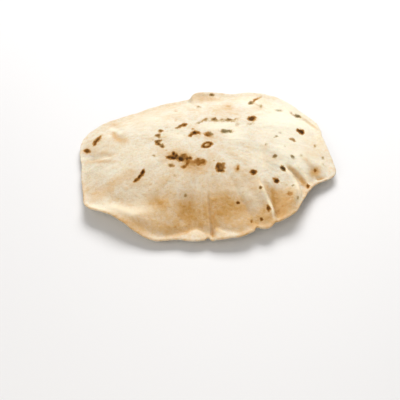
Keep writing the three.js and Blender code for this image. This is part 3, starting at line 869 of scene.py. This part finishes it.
FLOUR_AND_HIGHLIGHT_WHITE = colour(248, 242, 221)
CREST_HIGHLIGHT = colour(255, 235, 199)
BAKED_CREAM = colour(234, 227, 210)
BAKED_TAN = colour(223, 197, 157)
TOASTED_GOLD_AND_SHADE = colour(208, 161, 94)
DEEP_GOLD_AND_SHADE = colour(184, 134, 68)
SCORCH_STOPS = [
    (0.0, colour(226, 200, 160)), (0.3, colour(200, 157, 100)), (0.6, colour(152, 100, 37)),
    (0.85, colour(88, 54, 16)), (1.0, colour(60, 34, 8)),
]
SOOT_STOPS = [
    (0.0, colour(220, 206, 176)), (0.35, colour(166, 148, 108)), (0.7, colour(104, 90, 60)),
    (1.0, colour(50, 38, 22)),
]

baked_dough = bpy.data.materials.new("baked_dough")
baked_dough.use_nodes = True
tree = baked_dough.node_tree
shader = tree.nodes["Principled BSDF"]
place = tree.nodes.new("ShaderNodeTexCoord")


def lumpy(size, detail, roughness):
    """Noise between 0 and 1 with lumps of a size in metres."""
    texture = tree.nodes.new("ShaderNodeTexNoise")
    texture.inputs["Scale"].default_value = 1 / size
    texture.inputs["Detail"].default_value = detail
    texture.inputs["Roughness"].default_value = roughness
    tree.links.new(place.outputs["Object"], texture.inputs["Vector"])
    return texture.outputs["Fac"]


def ranged(value, from_low, from_high, to_low, to_high):
    """The value moved from one range to another and kept inside it."""
    mapper = tree.nodes.new("ShaderNodeMapRange")
    for socket, number in zip(("From Min", "From Max", "To Min", "To Max"),
                              (from_low, from_high, to_low, to_high)):
        mapper.inputs[socket].default_value = number
    tree.links.new(value, mapper.inputs["Value"])
    return mapper.outputs["Result"]


def combined(operation, first, second):
    """Two values, or a value and a number, put together."""
    math_node = tree.nodes.new("ShaderNodeMath")
    math_node.operation = operation
    for socket, value in zip(math_node.inputs, (first, second)):
        if isinstance(value, (int, float)):
            socket.default_value = value
        else:
            tree.links.new(value, socket)
    return math_node.outputs["Value"]


def blended(share, first, second):
    """A colour between two, by a share."""
    mixer = tree.nodes.new("ShaderNodeMix")
    mixer.data_type = "RGBA"
    tree.links.new(share, mixer.inputs["Factor"])
    for socket, value in zip(("A", "B"), (first, second)):
        target = [each for each in mixer.inputs if each.name == socket and each.type == "RGBA"][0]
        if isinstance(value, tuple):
            target.default_value = value
        else:
            tree.links.new(value, target)
    return [each for each in mixer.outputs if each.type == "RGBA"][0]


def painted(name):
    """A value painted on the skin's points."""
    attribute = tree.nodes.new("ShaderNodeAttribute")
    attribute.attribute_name = name
    return attribute.outputs["Fac"]


def ramp(value, stops):
    """The colour at a value between 0 and 1 on a ramp of stops."""
    ramp_node = tree.nodes.new("ShaderNodeValToRGB")
    elements = ramp_node.color_ramp.elements
    elements[0].position, elements[0].color = stops[0]
    elements[1].position, elements[1].color = stops[-1]
    for position, stop_colour in stops[1:-1]:
        elements.new(position).color = stop_colour
    tree.links.new(value, ramp_node.inputs["Fac"])
    return ramp_node.outputs["Color"]


# Unevenness of the bake: size of the lumps in metres, how many finer layers, and how strong
cloudy = lumpy(size=0.024, detail=3, roughness=0.55)
mottled = lumpy(size=0.006, detail=3, roughness=0.6)
speckled = lumpy(size=0.0022, detail=3, roughness=0.65)
grainy = lumpy(size=0.0009, detail=2, roughness=0.6)

# How that unevenness turns the cream to tan. Each range is: from low, from high, to low, to high.
CLOUDS_TO_TAN = (0.35, 0.7, 0.0, 0.3)
MOTTLES_TO_TAN = (0.35, 0.7, -0.1, 0.4)
SPECKLES_TO_TAN = (0.35, 0.7, -0.2, 0.35)
GRAINS_TO_TAN = (0.3, 0.7, -0.2, 0.25)
STREAKS_TO_TAN = 0.5

tan_share = ranged(cloudy, *CLOUDS_TO_TAN)
tan_share = combined("ADD", tan_share, ranged(mottled, *MOTTLES_TO_TAN))
tan_share = combined("ADD", tan_share, ranged(speckled, *SPECKLES_TO_TAN))
tan_share = combined("ADD", tan_share, ranged(grainy, *GRAINS_TO_TAN))
tan_share = combined("ADD", tan_share, combined("MULTIPLY", painted("streaks"), STREAKS_TO_TAN))
skin_colour = blended(tan_share, BAKED_CREAM, BAKED_TAN)
# Flour, and painted highlight where the skin faces the lamp
skin_colour = blended(painted("flour_and_light"), skin_colour, FLOUR_AND_HIGHLIGHT_WHITE)

# The gold and its painted shade are mottled and speckled too, and deepen where they are strong.
MOTTLED_GOLD_AND_SHADE = (0.2, 0.8, 0.82, 1.18)
SPECKLED_GOLD_AND_SHADE = (0.3, 0.7, 0.9, 1.1)
DEEPENING = (0.78, 1.3, 0.0, 1.0)

gold_and_shade_share = combined("MULTIPLY", painted("gold_and_shade"), ranged(mottled, *MOTTLED_GOLD_AND_SHADE))
gold_and_shade_share = combined("MULTIPLY", gold_and_shade_share, ranged(speckled, *SPECKLED_GOLD_AND_SHADE))
skin_colour = blended(gold_and_shade_share, skin_colour, TOASTED_GOLD_AND_SHADE)
skin_colour = blended(ranged(gold_and_shade_share, *DEEPENING), skin_colour, DEEP_GOLD_AND_SHADE)
# The painted highlight along the crests of folds
skin_colour = blended(painted("crest"), skin_colour, CREST_HIGHLIGHT)

# The marks: speckles fray their outlines and lighten them here and there, and the colour goes
# from the toasted halo to the burnt middle.
FRAYING = (0.25, 0.75, -0.2, 0.2)
MARK_OUTLINE = (0.24, 0.84, 0.0, 1.0)
SPECKLED_TOAST_AND_SHADE = (0.35, 0.65, 0.6, 1.1)
SPECKLED_MARK = (0.3, 0.7, 1.12, 0.86)
MARK_COVER = (0.03, 0.34, 0.0, 1.0)

frayed = combined("ADD", painted("burn"), ranged(speckled, *FRAYING))
scorched = combined("MULTIPLY", ranged(frayed, *MARK_OUTLINE), painted("burn_depth"))
# Toast, and the painted shade on the lip and the pouch
toast_and_shade_share = combined("MULTIPLY", painted("toast_and_shade"), ranged(speckled, *SPECKLED_TOAST_AND_SHADE))
scorched = combined("MAXIMUM", scorched, toast_and_shade_share)
scorched = combined("MULTIPLY", scorched, ranged(speckled, *SPECKLED_MARK))
scorch_colour = blended(
    painted("soot"), ramp(scorched, SCORCH_STOPS), ramp(scorched, SOOT_STOPS)
)
skin_colour = blended(ranged(scorched, *MARK_COVER), skin_colour, scorch_colour)
tree.links.new(skin_colour, shader.inputs["Base Color"])

# A dry, matt skin, with a little light in the dough
MATTNESS = (0.3, 0.7, 0.72, 0.9)
DOUGH_SHINE = 0.08
DOUGH_GLOW = 0.12
GLOW_REACH_BY_COLOUR = (1.0, 0.45, 0.2)
GLOW_DEPTH = 0.002

tree.links.new(ranged(mottled, *MATTNESS), shader.inputs["Roughness"])
shader.inputs["Specular IOR Level"].default_value = DOUGH_SHINE
shader.inputs["Subsurface Weight"].default_value = DOUGH_GLOW
shader.inputs["Subsurface Radius"].default_value = GLOW_REACH_BY_COLOUR
shader.inputs["Subsurface Scale"].default_value = GLOW_DEPTH

# Its grain, too fine for the mesh, and the marks, which are sunk a little
GRAIN_STRENGTH = 0.9
GRAIN_DEPTH = 0.0008
GRAINS_TO_RELIEF = 0.35
SPECKLES_TO_RELIEF = 0.7
MARKS_TO_RELIEF = 0.35

bump = tree.nodes.new("ShaderNodeBump")
bump.inputs["Strength"].default_value = GRAIN_STRENGTH
bump.inputs["Distance"].default_value = GRAIN_DEPTH
fine_grain = combined("MULTIPLY", grainy, GRAINS_TO_RELIEF)
relief_height = combined("ADD", fine_grain, combined("MULTIPLY", speckled, SPECKLES_TO_RELIEF))
relief_height = combined("ADD", relief_height, mottled)
relief_height = combined(
    "SUBTRACT", relief_height, combined("MULTIPLY", scorched, MARKS_TO_RELIEF)
)
tree.links.new(relief_height, bump.inputs["Height"])
tree.links.new(bump.outputs["Normal"], shader.inputs["Normal"])

bread_mesh.materials.append(baked_dough)

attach(bread, "root")
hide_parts("chapati")


# ---------------------------------------------------------------------------------------
# The table top
# A plain, pale, matt sheet of board, on which the bread rests. It is wide enough to fill the
# camera's view on every side.
# ---------------------------------------------------------------------------------------

TABLE_SIZE = 30.0
TABLE_WHITE = colour(232, 232, 234)
TABLE_ROUGHNESS = 0.6

table_mesh = bpy.data.meshes.new("table_top")
half = TABLE_SIZE / 2
table_mesh.from_pydata(
    [(-half, -half, 0), (half, -half, 0), (half, half, 0), (-half, half, 0)], [], [(0, 1, 2, 3)]
)
table = bpy.data.objects.new("table_top", table_mesh)
bpy.context.scene.collection.objects.link(table)

pale_paint = bpy.data.materials.new("pale_paint")
pale_paint.use_nodes = True
pale_shader = pale_paint.node_tree.nodes["Principled BSDF"]
pale_shader.inputs["Base Color"].default_value = TABLE_WHITE
pale_shader.inputs["Roughness"].default_value = TABLE_ROUGHNESS
table_mesh.materials.append(pale_paint)


# ---------------------------------------------------------------------------------------
# The light
# A large soft lamp above and behind the bread on its right, a weak one at its front left,
# and an even pale surround.
# ---------------------------------------------------------------------------------------

# Name, place and size in metres, power in watts, and tint
LAMPS = [
    ("key", (0.18, 0.84, 0.98), 0.8, 17.1, (1.0, 0.985, 0.96)),
    ("fill", (-0.4, -0.8, 0.6), 0.9, 4.2, (1.0, 0.95, 0.86)),
]
SURROUND_STRENGTH = 0.32

for name, lamp_place, lamp_size, power, tint in LAMPS:
    lamp_data = bpy.data.lights.new(name, "AREA")
    lamp_data.energy = power
    lamp_data.size = lamp_size
    lamp_data.color = tint
    lamp = bpy.data.objects.new(name, lamp_data)
    bpy.context.scene.collection.objects.link(lamp)
    lamp.location = lamp_place
    lamp.rotation_euler = (-Vector(lamp_place)).to_track_quat("-Z", "Y").to_euler()

surround = bpy.data.worlds.new("surround")
surround.use_nodes = True
surround.node_tree.nodes["Background"].inputs["Color"].default_value = (1.0, 1.0, 1.0, 1.0)
surround.node_tree.nodes["Background"].inputs["Strength"].default_value = SURROUND_STRENGTH
bpy.context.scene.world = surround
bpy.context.scene.view_settings.view_transform = "Standard"
